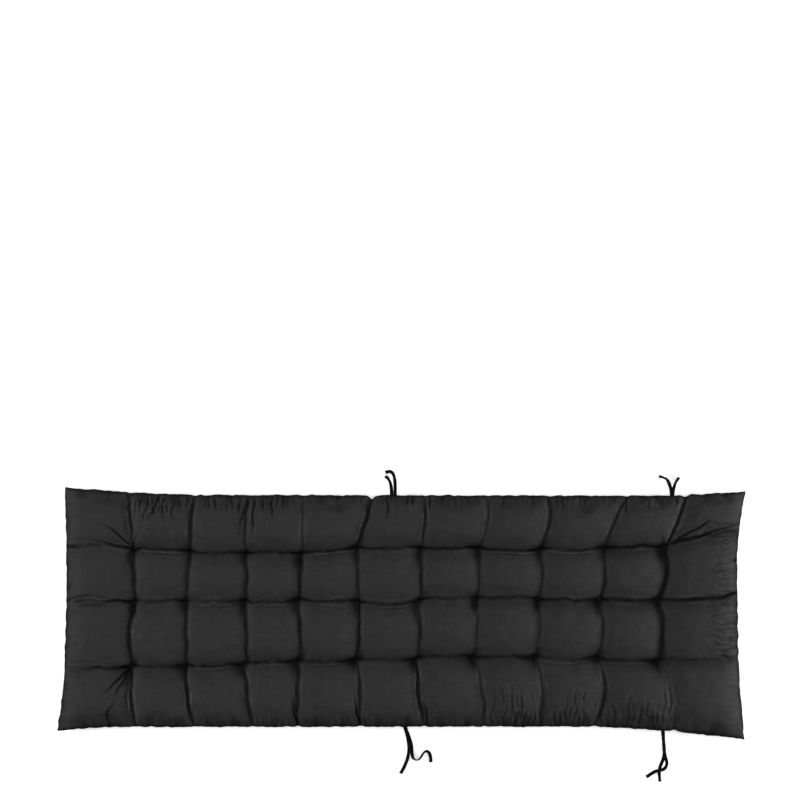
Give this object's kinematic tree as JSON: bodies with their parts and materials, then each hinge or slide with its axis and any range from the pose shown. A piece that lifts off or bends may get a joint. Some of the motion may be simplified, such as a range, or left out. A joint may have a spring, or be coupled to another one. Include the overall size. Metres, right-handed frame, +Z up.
{
  "type": "tufted lounge chair cushion with ties",
  "caption": "Long flat cushion, tufted into crowned cells with channels between them, with pairs of tie tapes on both long sides.",
  "frame": {"origin": "on the surface that the cushion lies on, under the middle of the cushion's outline, its ties left out", "axes": "+X along the cushion, towards the end with the second pair of ties; +Y across it, towards its back edge; +Z up, out of the face that shows"},
  "size_m": [1.514, 0.6861, 0.0724],
  "materials": {
    "cover": "charcoal plain-woven polyester with a faint sheen",
    "ties": "black folded and edge-stitched strip of woven polyester"
  },
  "bodies": {
    "root": {"cushion": "cover", "tie_back_middle_upper": "ties", "tie_back_middle_lower": "ties", "tie_back_end_upper": "ties", "tie_back_end_lower": "ties", "tie_front_middle_upper": "ties", "tie_front_middle_lower": "ties", "tie_front_end_upper": "ties", "tie_front_end_lower": "ties"}
  },
  "joints": []
}
